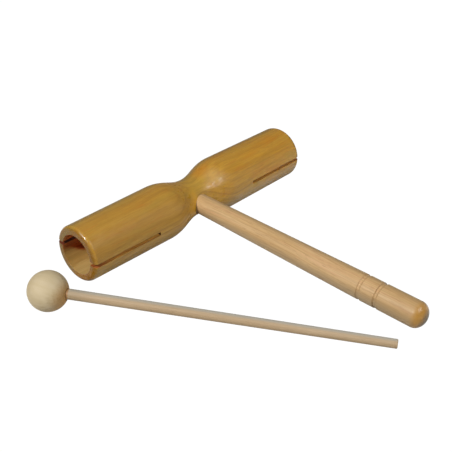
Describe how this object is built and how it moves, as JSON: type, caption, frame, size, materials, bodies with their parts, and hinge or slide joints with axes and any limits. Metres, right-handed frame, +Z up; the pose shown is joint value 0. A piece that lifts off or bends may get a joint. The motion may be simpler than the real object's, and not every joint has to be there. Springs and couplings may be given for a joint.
{
  "type": "tubular woodblock",
  "caption": "Two-tone tubular woodblock: a turned wooden tube with a bored, slit barrel at each end, a handle glued into its waist, and a ball-headed wooden beater lying beside it.",
  "frame": {"origin": "on the surface the set lies on, under the middle of the whole set", "axes": "+X along the block's axis, from the deeper bore to the shallower one; +Z up; the handle points to -Y"},
  "size_m": [0.2436, 0.2134, 0.0392],
  "materials": {
    "varnished_block": "glossy amber varnish over fine straight grain",
    "handle_wood": "satin clear varnish, grain along the handle",
    "ball_wood": "bare sanded wood, matte",
    "stick_wood": "bare dowel, matte"
  },
  "bodies": {
    "woodblock": {"tone_block": "varnished_block", "handle": "handle_wood"},
    "beater": {"beater_head": "ball_wood", "beater_stick": "stick_wood"}
  },
  "joints": [
    {"name": "beater_lift", "type": "slide", "parent": "woodblock", "child": "beater", "axis": [0, 0, 1], "range_m": [0, 0.1]}
  ]
}
